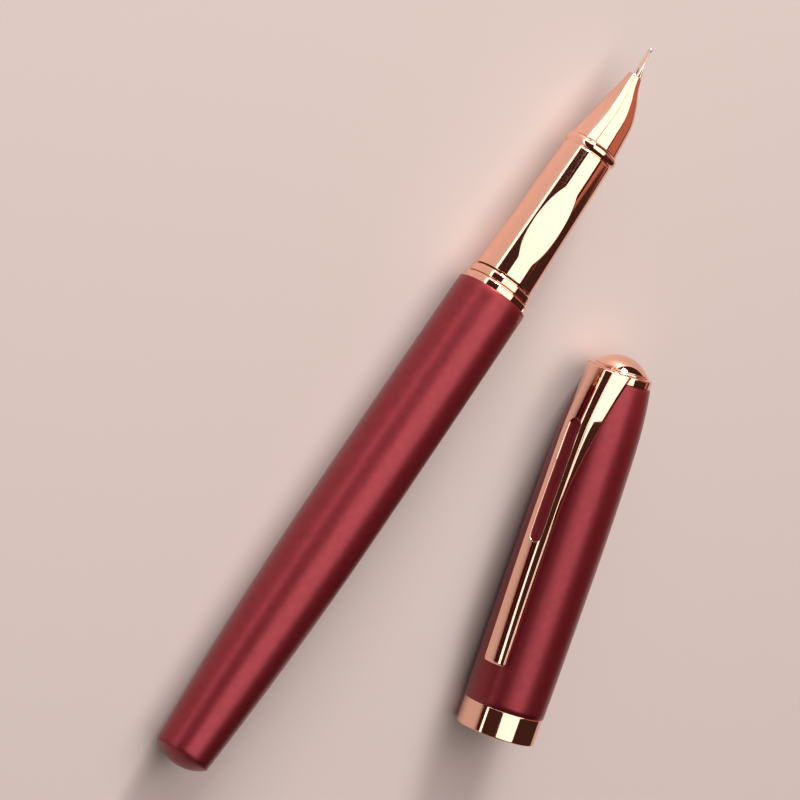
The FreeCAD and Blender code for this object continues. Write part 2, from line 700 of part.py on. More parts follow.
PIECES = [
    (pen_place, [
        barrel_tube, tail_plug, thread_bush, joint_ring, collar_ring, grip_shell, section_core, collector,
        ink_tube, feed_nipple, nib_hood, converter_tube, converter_mouth, converter_sleeve, converter_knob,
        drive_nut, piston_rod, piston_seal,
    ]),
    (cap_place, [
        cap_tube, lip_ring, clutch_ring, inner_cap, cap_bush, crown_ring, finial_dome, finial_screw, clip,
        clip_inlay,
    ]),
    (nib_place, [nib]),
    (tip_place, [nib_tipping]),
    (feed_place, [feed]),
    (seal_place, [seal_ring]),
    (ball_place, [agitator_ball]),
]
parts = []
for place, makers in PIECES:
    for make in makers:
        piece = make()
        piece.Label = make.__name__
        piece.Placement = place
        parts.append(piece)
doc.recompute()

for item in doc.Objects:
    if "Invalid" in item.State or "Error" in item.State:
        raise RuntimeError(f"{item.Label} did not build: {item.State}")
for piece in parts:
    if piece.Shape.isNull() or not piece.Shape.isValid() or len(piece.Shape.Solids) != 1:
        raise RuntimeError(f"{piece.Label} is not one sound solid")

os.makedirs("parts", exist_ok=True)
for piece in parts:
    piece.Shape.exportStep(f"parts/{piece.Label}.step")
    print(f"{piece.Label}: {piece.Shape.Volume:.2f} mm3")
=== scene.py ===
import json
import math

import bmesh
import bpy
from mathutils import Matrix, Vector


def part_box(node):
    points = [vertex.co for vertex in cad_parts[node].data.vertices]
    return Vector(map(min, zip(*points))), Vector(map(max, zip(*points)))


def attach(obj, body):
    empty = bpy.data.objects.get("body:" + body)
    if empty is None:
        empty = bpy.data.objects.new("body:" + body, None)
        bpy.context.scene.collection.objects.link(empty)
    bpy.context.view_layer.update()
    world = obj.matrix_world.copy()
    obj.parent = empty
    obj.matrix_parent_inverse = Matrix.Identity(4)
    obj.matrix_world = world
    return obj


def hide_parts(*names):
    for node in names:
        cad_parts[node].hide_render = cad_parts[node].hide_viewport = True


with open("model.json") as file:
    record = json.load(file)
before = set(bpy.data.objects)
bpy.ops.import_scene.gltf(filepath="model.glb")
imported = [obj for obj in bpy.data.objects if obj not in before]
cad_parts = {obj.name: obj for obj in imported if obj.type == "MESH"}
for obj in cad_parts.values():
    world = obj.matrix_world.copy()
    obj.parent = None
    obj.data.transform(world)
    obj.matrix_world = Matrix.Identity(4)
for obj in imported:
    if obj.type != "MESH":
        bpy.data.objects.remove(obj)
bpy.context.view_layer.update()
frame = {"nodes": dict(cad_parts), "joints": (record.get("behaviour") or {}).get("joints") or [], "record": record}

MM = 0.001


# ------------------------------------------------------------------ where the pen and the cap lie

def start_of(node, centre, direction):
    """The point on the line through centre where a CAD node starts along a direction, in metres."""
    places = [(v.co - centre).dot(direction) for v in frame["nodes"][node].data.vertices]
    return centre + direction * min(places)


def across(vector, direction):
    """The part of a vector at right angles to a direction, as a unit vector."""
    return (vector - direction * vector.dot(direction)).normalized()


def lying_frame(origin, along, top):
    """A matrix from millimetres along and across a lying piece to metres in the row frame."""
    side = top.cross(along)
    axes = Matrix((along, side, top)).transposed().to_4x4()
    return Matrix.Translation(origin) @ axes @ Matrix.Scale(MM, 4)


def middle(node):
    low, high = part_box(node)
    return (low + high) / 2


joints = {joint["name"]: joint for joint in frame["joints"]}
mounts = {mount["name"]: mount for mount in frame["record"]["mounts"]}

pen_along = Vector(joints["section_turn"]["axis"]).normalized()
pen_centre = Vector(joints["section_turn"]["pos_m"])
pen_top = across(middle("nib_tipping") - pen_centre, pen_along)
PEN = lying_frame(start_of("tail_plug", pen_centre, pen_along), pen_along, pen_top)

cap_along = -Vector(mounts["cap_mouth"]["axis"])
cap_centre = Vector(mounts["cap_mouth"]["pos_m"])
cap_top = across(Vector(mounts["pocket_clip"]["axis"]), cap_along)
CAP = lying_frame(start_of("lip_ring", cap_centre, cap_along), cap_along, cap_top)


# ------------------------------------------------------------------ materials

RAMP_ENDS = (0.3, 0.7)


def new_material(name, colour, metallic, roughness, **sockets):
    material = bpy.data.materials.new(name)
    material.use_nodes = True
    shader = shader_of(material)
    shader.inputs["Base Color"].default_value = (*colour, 1)
    shader.inputs["Metallic"].default_value = metallic
    shader.inputs["Roughness"].default_value = roughness
    for socket, amount in sockets.items():
        shader.inputs[socket.replace("_", " ")].default_value = amount
    return material


def shader_of(material):
    return material.node_tree.nodes["Principled BSDF"]


def add_node(material, kind):
    return material.node_tree.nodes.new(kind)


def link(material, output, target):
    material.node_tree.links.new(output, target)


def noise(material, scale, detail):
    """A noise over the object's own coordinates. The scale is in cycles a metre."""
    place = add_node(material, "ShaderNodeTexCoord")
    texture = add_node(material, "ShaderNodeTexNoise")
    texture.inputs["Scale"].default_value = scale
    texture.inputs["Detail"].default_value = detail
    link(material, place.outputs["Object"], texture.inputs["Vector"])
    return texture.outputs["Fac"]


def vary_colour(material, factor, low, high):
    """Runs the base colour between two colours with a factor."""
    ramp = add_node(material, "ShaderNodeValToRGB")
    for stop, position, colour in zip(ramp.color_ramp.elements, RAMP_ENDS, (low, high)):
        stop.color = (*colour, 1)
        stop.position = position
    link(material, factor, ramp.inputs["Fac"])
    link(material, ramp.outputs["Color"], shader_of(material).inputs["Base Color"])


def vary_roughness(material, factor, low, high):
    spread_out = add_node(material, "ShaderNodeMapRange")
    spread_out.inputs["To Min"].default_value = low
    spread_out.inputs["To Max"].default_value = high
    link(material, factor, spread_out.inputs["Value"])
    link(material, spread_out.outputs["Result"], shader_of(material).inputs["Roughness"])


def add_bump(material, height, distance, strength):
    bump = add_node(material, "ShaderNodeBump")
    bump.inputs["Distance"].default_value = distance
    bump.inputs["Strength"].default_value = strength
    link(material, height, bump.inputs["Height"])
    link(material, bump.outputs["Normal"], shader_of(material).inputs["Normal"])


def satin_lacquer():
    """Fine-grained metallic burgundy lacquer, rubbed to a satin."""
    material = new_material("burgundy_satin", (0.23, 0.012, 0.022), metallic=0.75, roughness=0.36,
                            Coat_Weight=0.45, Coat_Roughness=0.36)
    vary_colour(material, noise(material, scale=900.0, detail=6.0),
                low=(0.205, 0.009, 0.018), high=(0.25, 0.014, 0.025))
    vary_roughness(material, noise(material, scale=260.0, detail=4.0), low=0.34, high=0.39)
    add_bump(material, noise(material, scale=9000.0, detail=2.0), distance=2e-6, strength=0.25)
    return material


def polished_rose_gold():
    material = new_material("rose_gold_polish", (0.94, 0.55, 0.42), metallic=1.0, roughness=0.06)
    vary_colour(material, noise(material, scale=60.0, detail=2.0),
                low=(0.93, 0.54, 0.405), high=(0.95, 0.565, 0.435))
    vary_roughness(material, noise(material, scale=420.0, detail=5.0), low=0.035, high=0.07)
    return material


def nib_gold():
    material = new_material("nib_gold_polish", (0.96, 0.8, 0.69), metallic=1.0, roughness=0.1)
    vary_roughness(material, noise(material, scale=1400.0, detail=4.0), low=0.08, high=0.14)
    return material


def tipping_alloy():
    material = new_material("tipping_grey", (0.8, 0.74, 0.7), metallic=1.0, roughness=0.34)
    vary_roughness(material, noise(material, scale=3000.0, detail=3.0), low=0.3, high=0.4)
    return material


def machined_brass():
    material = new_material("brass_machined", (0.78, 0.58, 0.29), metallic=1.0, roughness=0.25)
    vary_roughness(material, noise(material, scale=700.0, detail=4.0), low=0.2, high=0.34)
    return material


def black_plastic():
    material = new_material("black_moulding", (0.012, 0.012, 0.014), metallic=0.0, roughness=0.3,
                            Specular_IOR_Level=0.45)
    vary_roughness(material, noise(material, scale=900.0, detail=3.0), low=0.26, high=0.38)
    add_bump(material, noise(material, scale=2500.0, detail=2.0), distance=4e-6, strength=0.2)
    return material


def clear_plastic():
    material = new_material("clear_moulding", (0.93, 0.95, 0.96), metallic=0.0, roughness=0.04,
                            Transmission_Weight=1.0, IOR=1.49)
    vary_roughness(material, noise(material, scale=500.0, detail=2.0), low=0.02, high=0.06)
    return material


def bright_steel():
    material = new_material("steel_bright", (0.68, 0.68, 0.69), metallic=1.0, roughness=0.14)
    vary_roughness(material, noise(material, scale=600.0, detail=4.0), low=0.1, high=0.2)
    return material


def soft_rubber():
    material = new_material("rubber_soft", (0.02, 0.02, 0.021), metallic=0.0, roughness=0.62)
    vary_roughness(material, noise(material, scale=800.0, detail=4.0), low=0.55, high=0.7)
    add_bump(material, noise(material, scale=3000.0, detail=2.0), distance=5e-6, strength=0.3)
    return material


FINISHES = {
    "burgundy_lacquer": satin_lacquer(),
    "rose_gold": polished_rose_gold(),
    "nib_gold": nib_gold(),
    "tipping_alloy": tipping_alloy(),
    "brass": machined_brass(),
    "black_plastic": black_plastic(),
    "clear_plastic": clear_plastic(),
    "bright_steel": bright_steel(),
    "rubber": soft_rubber(),
}
for part in frame["record"]["subparts"]:
    for slot_place in frame["nodes"][part["node"]].material_slots:
        slot_place.material = FINISHES[part["material_slot"]]


# ------------------------------------------------------------------ mesh helpers

AROUND = 192
SAME_POINT = 1e-8
EASE_STEPS, EASE_HOLD, EASE_SHARE = 5, 0.04, 0.45
NEARLY_STRAIGHT = 0.12
PLATE_EASE = 0.03


def finish_mesh(name, verts, faces, place, body, slot, node):
    """Makes a smooth closed piece from millimetre points, in a CAD node's place and on its body."""
    mesh = bpy.data.meshes.new(name)
    mesh.from_pydata([place @ Vector(v) for v in verts], [], faces)
    tidy = bmesh.new()
    tidy.from_mesh(mesh)
    bmesh.ops.remove_doubles(tidy, verts=tidy.verts, dist=SAME_POINT)
    bmesh.ops.recalc_face_normals(tidy, faces=tidy.faces)
    tidy.to_mesh(mesh)
    tidy.free()
    for face in mesh.polygons:
        face.use_smooth = True
    piece = bpy.data.objects.new(name, mesh)
    bpy.context.collection.objects.link(piece)
    mesh.materials.append(FINISHES[slot])
    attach(piece, body)
    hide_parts(node)


def spread(start, end, steps):
    return [start + (end - start) * k / steps for k in range(steps + 1)]


def turns(count):
    """Equal turns round a full circle, in radians."""
    return [2 * math.pi * k / count for k in range(count)]


def quarter(steps):
    """Turns from nothing to a quarter of a circle, in radians."""
    return [math.pi / 2 * step / steps for step in range(steps + 1)]


def mixed(a, b, share):
    """The point a share of the way from a to b."""
    return tuple(p + (q - p) * share for p, q in zip(a, b))


def stitched(rows, around, closed):
    """The faces between rows of points that go round a shape. Closed joins the last row to the first."""
    faces = []
    for i in range(rows if closed else rows - 1):
        j = (i + 1) % rows
        for k in range(around):
            m = (k + 1) % around
            faces.append((i * around + k, i * around + m, j * around + m, j * around + k))
    return faces


def plate_faces(first, rows, steps):
    """The faces of a plate whose rows hold steps + 1 points on top, then as many below."""
    row = 2 * (steps + 1)
    faces = []
    for i in range(rows - 1):
        a, b = first + i * row, first + (i + 1) * row
        for k in range(steps):
            low_a, low_b = a + steps + 1 + k, b + steps + 1 + k
            faces.append((a + k, a + k + 1, b + k + 1, b + k))
            faces.append((low_a, low_b, low_b + 1, low_a + 1))
        faces.append((a, b, b + steps + 1, a + steps + 1))
        faces.append((a + steps, a + 2 * steps + 1, b + 2 * steps + 1, b + steps))
    for a in (first, first + (rows - 1) * row):
        for k in range(steps):
            faces.append((a + k, a + k + 1, a + k + steps + 2, a + k + steps + 1))
    return faces


def plate_ease(k, steps, flat):
    """How far a plate's face falls at point k of a row: nothing over its flat share, most at the edges."""
    return PLATE_EASE * max(abs(2 * k / steps - 1) - flat, 0) / (1 - flat)


def arc(start, end, radius, steps):
    """Points from start to end along an arc that bulges to the left by a radius in millimetres."""
    a, b = Vector(start), Vector(end)
    half = (b - a).length / 2
    left = Vector((a.y - b.y, b.x - a.x)).normalized()
    centre = (a + b) / 2 - left * math.sqrt(max(radius * radius - half * half, 0))
    first = math.atan2(a.y - centre.y, a.x - centre.x)
    last = math.atan2(b.y - centre.y, b.x - centre.x)
    if last > first:
        last -= 2 * math.pi
    return [(centre.x + radius * math.cos(t), centre.y + radius * math.sin(t))
            for t in spread(first, last, steps)]


def eased(corners, radius):
    """An outline with each corner rounded by radius, and each straight held by points near its ends."""
    points = [corners[0]]
    for before, corner, after in zip(corners, corners[1:], corners[2:]):
        here = Vector(corner)
        back, on = Vector(before) - here, Vector(after) - here
        half_turn = (math.pi - back.angle(on)) / 2
        if 2 * half_turn < NEARLY_STRAIGHT:
            points.append(corner)
            continue
        trim = min(radius * math.tan(half_turn), EASE_SHARE * min(back.length, on.length))
        start, end = here + back.normalized() * trim, here + on.normalized() * trim
        if back.length > 4 * trim + EASE_HOLD:
            points.append(tuple(start + back.normalized() * EASE_HOLD))
        for f in spread(0, 1, EASE_STEPS):
            points.append(tuple(start * (1 - f) ** 2 + here * 2 * f * (1 - f) + end * f * f))
        if on.length > 4 * trim + EASE_HOLD:
            points.append(tuple(end + on.normalized() * EASE_HOLD))
    return points


def turned(name, outline, place, body, slot, node, closed=True):
    """Turns an outline of (along, radius) points about the X axis. A closed outline is a ring's section."""
    verts = [(x, r * math.cos(turn), r * math.sin(turn)) for x, r in outline for turn in turns(AROUND)]
    finish_mesh(name, verts, stitched(len(outline), AROUND, closed), place, body, slot, node)


def spline(knots, x):
    """A smooth curve through (x, y, ...) knots: the values at x, by Catmull-Rom between neighbours."""
    if x <= knots[0][0]:
        return list(knots[0][1:])
    if x >= knots[-1][0]:
        return list(knots[-1][1:])
    k = max(i for i in range(len(knots) - 1) if knots[i][0] <= x)
    p1, p2 = knots[k], knots[k + 1]
    p0 = knots[k - 1] if k > 0 else p1
    p3 = knots[k + 2] if k + 2 < len(knots) else p2
    span = p2[0] - p1[0]
    f = (x - p1[0]) / span
    values = []
    for c in range(1, len(p1)):
        before = (p2[c] - p0[c]) / (p2[0] - p0[0]) * span
        after = (p3[c] - p1[c]) / (p3[0] - p1[0]) * span
        values.append((2 * f**3 - 3 * f**2 + 1) * p1[c] + (f**3 - 2 * f**2 + f) * before
                      + (-2 * f**3 + 3 * f**2) * p2[c] + (f**3 - f**2) * after)
    return values


# ------------------------------------------------------------------ barrel
# Outlines are lists of (along, radius) in millimetres, from the pen's tail.

RIM, BELLY, MOUTH = (1.6, 4.25), (44.0, 5.65), (81.5, 5.525)
BACK_CURVE, FRONT_CURVE = 643.0, 5625.0
SIDE_EASE = 0.12
TAIL_RIM = [(1.62, 4.05), (1.6, 4.13), (1.64, 4.205), (1.7, 4.245)]
MOUTH_RIM = [
    (81.42, 5.52), (81.475, 5.5), (81.5, 5.45), (81.5, 5.3), (81.5, 4.95), (81.48, 4.88), (81.4, 4.85),
]
BARREL_BORE = [(81.3, 4.85), (70.0, 4.85), (40.0, 4.85), (5.2, 3.7), (1.75, 3.7), (1.65, 3.72), (1.6, 3.8)]
DOME_TOP, DOME_FOOT, DOME_CURVE = (0.0, 0.0), (1.52, 4.1), 6.31
PLUG = [(1.58, 4.15), (1.6, 4.1), (1.62, 3.8), (1.8, 3.69), (5.1, 3.6), (5.2, 3.5), (5.2, 0.0)]
RING_WIDTH, RING_SPLIT, RING_NECK, RING_BORE, RING_EASE = 1.05, 0.5, 0.25, 4.27, 0.14


def within(side, start, end):
    """The points of a side that leave room for the eased rims at its start and end."""
    return [(x, r) for x, r in side if start + SIDE_EASE < x < end - SIDE_EASE]


def barrel():
    """The barrel's shell, full at its belly, with eased rims and its bore."""
    side = arc(RIM, BELLY, BACK_CURVE, steps=60)[:-1] + arc(BELLY, MOUTH, FRONT_CURVE, steps=40)
    outline = TAIL_RIM + within(side, RIM[0], MOUTH[0]) + MOUTH_RIM + BARREL_BORE
    turned("barrel_shell", outline, PEN, "barrel", "burgundy_lacquer", "barrel_tube")


def tail_end():
    outline = arc(DOME_TOP, DOME_FOOT, DOME_CURVE, steps=28) + PLUG
    turned("tail_dome", outline, PEN, "barrel", "burgundy_lacquer", "tail_plug", closed=False)


def joint_band(name, start, radius, neck, body, node):
    """A polished ring with soft edges and a narrower neck."""
    end = start + RING_WIDTH
    inside = (start + RING_SPLIT, RING_BORE)
    section = eased([
        inside, (start, RING_BORE), (start, radius), (end, radius), (end, neck), (end + RING_NECK, neck),
        (end + RING_NECK, RING_BORE), inside,
    ], RING_EASE)
    turned(name, section, PEN, body, "rose_gold", node)


# ------------------------------------------------------------------ grip section

GRIP_START, GRIP_END = (84.4, 4.675), (106.2, 3.95)
GRIP_AROUND = 288
FACET_X, FACET_FLOOR, FACET_CURVE, FACET_ANGLES = 95.0, 3.76, 37.5, (58.5, -58.5)
FACET_HALF_LENGTH, FACET_HALF_TURN, FACET_BLEND = 12.0, 1.0, 0.05
GRIP_BACK = [(84.4, 3.2), (84.4, 4.4), (84.4, 4.55), (84.43, 4.63), (84.5, 4.665)]
GRIP_TAPER = (84.6, 106.15, 170)
GRIP_GROOVE = [(106.22, 3.945), (106.3, 3.9), (106.36, 3.84), (106.45, 3.83)]
BEAD_START, BEAD_END, BEAD_CURVE = (106.5, 3.86), (107.9, 3.86), 0.85
GRIP_MOUTH = [(107.9, 3.7), (107.9, 3.3), (107.85, 3.2), (107.7, 3.2)]
GRIP_BORE = [(95.0, 3.2), (84.6, 3.2)]


def grip_radius(x, turn):
    """The grip's radius at a place: the cone, cut by a long hollow facet on each side of the top."""
    share = (x - GRIP_START[0]) / (GRIP_END[0] - GRIP_START[0])
    radius = GRIP_START[1] + share * (GRIP_END[1] - GRIP_START[1])
    for angle in FACET_ANGLES:
        away = (turn - math.radians(angle) + math.pi) % (2 * math.pi) - math.pi
        if abs(away) > FACET_HALF_TURN or abs(x - FACET_X) > FACET_HALF_LENGTH:
            continue
        height = FACET_FLOOR + FACET_CURVE - math.sqrt(FACET_CURVE**2 - (x - FACET_X) ** 2)
        facet = height / math.cos(away)
        gap = max(FACET_BLEND - abs(radius - facet), 0) / FACET_BLEND
        radius = min(radius, facet) - gap * gap * FACET_BLEND / 4
    return radius


def grip():
    """The polished grip: a taper with finger facets, a fine groove and a bead at its front."""
    front = GRIP_GROOVE + arc(BEAD_START, BEAD_END, BEAD_CURVE, steps=16) + GRIP_MOUTH
    rows = GRIP_BACK + [(x, None) for x in spread(*GRIP_TAPER)] + front + GRIP_BORE
    verts = []
    for x, radius in rows:
        for turn in turns(GRIP_AROUND):
            size = grip_radius(x, turn) if radius is None else radius
            verts.append((x, size * math.sin(turn), size * math.cos(turn)))
    faces = stitched(len(rows), GRIP_AROUND, closed=True)
    finish_mesh("grip_polished", verts, faces, PEN, "section", "rose_gold", "grip_shell")


# The hood's rings are (along, rise, radius): round sections whose centres rise towards the nib.
HOOD = [
    (107.95, 0.0, 3.75), (110.8, -0.12, 3.38), (113.6, -0.22, 2.95), (116.2, 0.15, 2.22),
    (118.35, 0.7, 1.45), (119.9, 0.95, 1.05),
]
HOOD_WALL, HOOD_AROUND = 0.3, 160
HOOD_BACK = [(107.95, 0.0, 3.45), (107.95, 0.0, 3.68), (107.98, 0.0, 3.735)]
HOOD_SKIN, HOOD_INSIDE = (108.05, 119.6, 110), (119.8, 108.2, 40)
HOOD_LIP_LENGTH, HOOD_LIP_RISE, HOOD_LIP_EASE, HOOD_LIP_STEPS = 0.28, 0.09, 0.22, 8


def hood():
    """The hood over the nib: it rises and narrows towards the nib, and is open at the front."""
    rings = HOOD_BACK + [(x, *spline(HOOD, x)) for x in spread(*HOOD_SKIN)]
    lip_x = HOOD_SKIN[1]
    lip_rise, lip_radius = spline(HOOD, lip_x)
    for step, turn in list(enumerate(quarter(HOOD_LIP_STEPS)))[1:]:
        lift = lip_rise + HOOD_LIP_RISE * step / HOOD_LIP_STEPS
        shrink = HOOD_LIP_EASE * (1 - math.cos(turn))
        rings.append((lip_x + HOOD_LIP_LENGTH * math.sin(turn), lift, lip_radius - shrink))
    for x in spread(*HOOD_INSIDE):
        lift, radius = spline(HOOD, x)
        rings.append((x, lift, radius - HOOD_WALL))
    verts = [(x, radius * math.sin(turn), lift + radius * math.cos(turn))
             for x, lift, radius in rings for turn in turns(HOOD_AROUND)]
    faces = stitched(len(rings), HOOD_AROUND, closed=True)
    finish_mesh("hood_polished", verts, faces, PEN, "section", "rose_gold", "nib_hood")


# ------------------------------------------------------------------ nib, tipping and feed

def tipped(x, z, degrees):
    """A frame on the pen's middle plane, its X axis turned up or down by an angle."""
    return PEN @ Matrix.Translation((x, 0, z)) @ Matrix.Rotation(math.radians(degrees), 4, "Y")


NIB, FEED_PLACE = tipped(112.0, -1.1, -6.5), tipped(106.1, -1.8, -9.2)
NIB_CURVE, NIB_SHEET, NIB_LENGTH, NIB_STEPS = 1.3, 0.18, 12.6, 14
SHANK_END, SHANK_HALF = 5.2, 1.05
BLADE_START, BLADE_HALF, BLADE_POWER = 7.9, 0.86, 0.92
POINT_HALF, POINT_LENGTH, POINT_SLOPE, LEAST_TINE = 0.2, 0.2, 0.7, 0.03
NIB_FLAT = 0.86
NIB_RUNS = [(1.0, 8.2, 24), (8.25, 9.35, 40), (9.45, NIB_LENGTH - POINT_LENGTH, 34)]
NIB_POINT = [NIB_LENGTH - 0.14, NIB_LENGTH - 0.08, NIB_LENGTH - 0.03, NIB_LENGTH]
BREATHER_START, BREATHER_END, BREATHER_HALF = 8.3, 9.3, 0.17
SLIT_HALF = 0.035
TIPPING_R, TIPPING_BACK, TIPPING_RISE, TIPPING_SHAPE = 0.3, 0.17, 0.95, (1, 0.75, 0.9, 1)


def nib_half_width(x):
    if x < SHANK_END:
        return SHANK_HALF
    if x < BLADE_START:
        share = (x - SHANK_END) / (BLADE_START - SHANK_END)
        return SHANK_HALF + share * (BLADE_HALF - SHANK_HALF)
    share_left = max(NIB_LENGTH - x, 0) / (NIB_LENGTH - BLADE_START)
    return POINT_HALF + (BLADE_HALF - POINT_HALF) * share_left**BLADE_POWER


def nib_inner_edge(x):
    """Half the opening along the nib's middle: solid, then the breather slot, then the slit."""
    if x <= BREATHER_START:
        return 0.0
    centre, half_length = (BREATHER_START + BREATHER_END) / 2, (BREATHER_END - BREATHER_START) / 2
    inside = 1 - ((x - centre) / half_length) ** 2
    breather = BREATHER_HALF * math.sqrt(inside) if inside > 0 else 0.0
    return max(breather, SLIT_HALF)


def nib():
    """The gold blade, bent over the feed, in two tines parted by the slit."""
    along = [x for run in NIB_RUNS for x in spread(*run)] + NIB_POINT
    verts, faces = [], []
    for side in (1, -1):
        first = len(verts)
        for x in along:
            low = nib_inner_edge(x)
            taper = max(x - NIB_LENGTH + POINT_LENGTH, 0) * POINT_SLOPE
            high = max(nib_half_width(x) - taper, low + LEAST_TINE)
            for depth, inward in ((0.0, 1), (NIB_SHEET, -1)):
                for k in range(NIB_STEPS + 1):
                    y = low + (high - low) * k / NIB_STEPS
                    bend = math.sqrt(NIB_CURVE**2 - y * y)
                    verts.append((x, side * y, bend - depth - inward * plate_ease(k, NIB_STEPS, NIB_FLAT)))
        faces += plate_faces(first, len(along), NIB_STEPS)
    finish_mesh("nib_blade", verts, faces, NIB, "section", "nib_gold", "nib")


def tipping():
    ball = arc((-TIPPING_R, 0.0), (TIPPING_R, 0.0), TIPPING_R, steps=20)
    centre = Matrix.Translation((NIB_LENGTH - TIPPING_BACK, 0, TIPPING_RISE))
    place = NIB @ centre @ Matrix.Diagonal(TIPPING_SHAPE)
    turned("tipping_ball", ball, place, "section", "tipping_alloy", "nib_tipping", closed=False)


# The feed's sections are (along, half height, half width).
FEED = [
    (0.0, 1.0, 1.0), (5.4, 0.8, 0.85), (10.0, 0.6, 0.82), (13.0, 0.48, 0.78), (14.4, 0.36, 0.56),
    (15.6, 0.22, 0.3), (16.2, 0.12, 0.14),
]
FEED_AROUND, FEED_TIP = 72, 16.26
FIN_START, FIN_END, FIN_PITCH, FIN_DEPTH = 5.6, 11.8, 0.55, 0.12
FIN_PROFILE = [(0.0, 0.0), (0.04, FIN_DEPTH), (0.2, FIN_DEPTH), (0.24, 0.0)]
FEED_BACK, FEED_FRONT = (0.6, 5.4, 8), (FIN_END + 0.2, FEED[-1][0], 18)


def feed_piece():
    """The black feed under the nib: an oval nose combed with fine fins, cut by a groove between each pair."""
    stations = [(x, 0.0) for x in [0.0, 0.02] + spread(*FEED_BACK)]
    for fin in range(int((FIN_END - FIN_START) / FIN_PITCH)):
        stations += [(FIN_START + fin * FIN_PITCH + x, sink) for x, sink in FIN_PROFILE]
    stations += [(x, 0.0) for x in spread(*FEED_FRONT)]
    verts, faces = [(0.0, 0.0, 0.0)], []
    for x, sink in stations:
        tall, wide = spline(FEED, x)
        verts += [(x, (wide - sink) * math.sin(turn), (tall - sink) * math.cos(turn))
                  for turn in turns(FEED_AROUND)]
    verts.append((FEED_TIP, 0.0, 0.0))
    last = len(verts) - 1 - FEED_AROUND
    for k in range(FEED_AROUND):
        m = (k + 1) % FEED_AROUND
        faces.append((0, 1 + m, 1 + k))
        for a in range(1, last, FEED_AROUND):
            b = a + FEED_AROUND
            faces.append((a + k, a + m, b + m, b + k))
        faces.append((last + k, last + m, len(verts) - 1))
    finish_mesh("feed_combed", verts, faces, FEED_PLACE, "section", "black_plastic", "feed")


# ------------------------------------------------------------------ cap
# Outlines are lists of (along, radius) in millimetres, from the cap's lip. The belly is 4 micrometres
# under the CAD's, to stay inside the CAD mesh, whose facets cut just inside the true circle.

TUBE_LIP, TUBE_BELLY, TUBE_TURN, TUBE_END = (4.1, 6.15), (28.7, 6.296), (46.0, 6.0), (55.3, 5.025)
LIP_CURVE, MID_CURVE, TOP_CURVE = 2017.0, 500.0, 66.0
TUBE_SIDE = arc(TUBE_LIP, TUBE_BELLY, LIP_CURVE, steps=30)[:-1]
TUBE_SIDE += arc(TUBE_BELLY, TUBE_TURN, MID_CURVE, steps=30)[:-1]
TUBE_SIDE += arc(TUBE_TURN, TUBE_END, TOP_CURVE, steps=24)
TUBE_FOOT = [(4.1, 5.6), (4.1, 6.0), (4.115, 6.07), (4.16, 6.13)]
TUBE_TOP = [(55.23, 5.03), (55.28, 5.0), (55.3, 4.94), (55.3, 4.4), (55.2, 4.32)]
TUBE_BORE = [(48.0, 4.87), (40.0, 5.5), (20.0, 5.5), (4.2, 5.5)]
LIP_SECTION, LIP_EASE = [
    (2.0, 5.25), (0.0, 5.25), (0.0, 6.05), (4.1, 6.05), (4.1, 5.5), (7.0, 5.5), (7.0, 5.25), (2.0, 5.25),
], 0.17
CROWN_SECTION, CROWN_EASE = [
    (56.0, 1.55), (55.3, 1.55), (55.3, 4.9), (56.7, 4.9), (56.7, 4.3), (57.0, 4.3), (57.0, 1.55),
    (56.0, 1.55),
], 0.22
FINIAL_BASE = [(57.9, 0.0), (57.0, 1.6), (57.0, 3.9), (57.01, 3.97)]
FINIAL_FOOT, FINIAL_TOP, FINIAL_CURVE = (57.05, 4.0), (59.0, 0.0), 5.1


def tube_radius(x):
    """The cap tube's outer radius at a distance from the lip."""
    if x >= TUBE_END[0]:
        return TUBE_END[1]
    k = max(i for i in range(len(TUBE_SIDE) - 1) if TUBE_SIDE[i][0] <= max(x, TUBE_LIP[0]))
    (x0, r0), (x1, r1) = TUBE_SIDE[k], TUBE_SIDE[k + 1]
    return r0 + (r1 - r0) * (x - x0) / (x1 - x0)


def cap_body():
    outline = TUBE_FOOT + within(TUBE_SIDE, TUBE_LIP[0], TUBE_END[0]) + TUBE_TOP + TUBE_BORE
    turned("cap_shell", outline, CAP, "cap", "burgundy_lacquer", "cap_tube")


def cap_lip():
    turned("lip_band", eased(LIP_SECTION, LIP_EASE), CAP, "cap", "rose_gold", "lip_ring")


def cap_crown():
    turned("crown_band", eased(CROWN_SECTION, CROWN_EASE), CAP, "cap", "rose_gold", "crown_ring")


def finial():
    outline = FINIAL_BASE + arc(FINIAL_FOOT, FINIAL_TOP, FINIAL_CURVE, steps=40)
    turned("finial_polished", outline, CAP, "cap", "rose_gold", "finial_dome", closed=False)


# ------------------------------------------------------------------ clip
# The clip's sections are (along, half width below, half width on top, low, high, crown), from the cap's lip.

CLIP = [
    (10.4, 1.9, 1.75, 6.75, 7.45, 0.2),
    (21.4, 1.95, 1.8, 6.95, 7.85, 0.25),
    (29.4, 2.0, 1.85, 7.0, 8.0, 0.28),
    (38.4, 2.05, 1.85, 6.8, 8.0, 0.28),
    (47.5, 2.9, 1.9, 5.6, 7.8, 0.3),
    (52.9, 3.5, 1.9, 4.4, 6.8, 0.35),
    (56.65, 4.0, 1.9, 3.4, 5.8, 0.4),
]
CLIP_TIP, CLIP_ROOT = CLIP[0][0], CLIP[-1][0]
CLIP_GAP, CLIP_EASE, CORNER_DROP = 0.12, 0.16, 0.02
FLANK_SEARCH, FLANK_STEPS, CORNER_STEPS, TOP_STEPS, UNDER_STEPS = 12, 6, 4, 64, 16
TIP_ROUND, TIP_FALL, TIP_STEPS = 0.45, 0.45, 8
CLIP_RUNS = [
    (10.9, 29.2, 70), (29.3, 30.6, 26), (30.8, 47.2, 80), (47.3, 48.7, 28), (48.9, CLIP_ROOT - 0.2, 64),
]
ROOT_EASE = [(0.12, 0.01), (0.04, 0.04), (0.0, 0.1)]
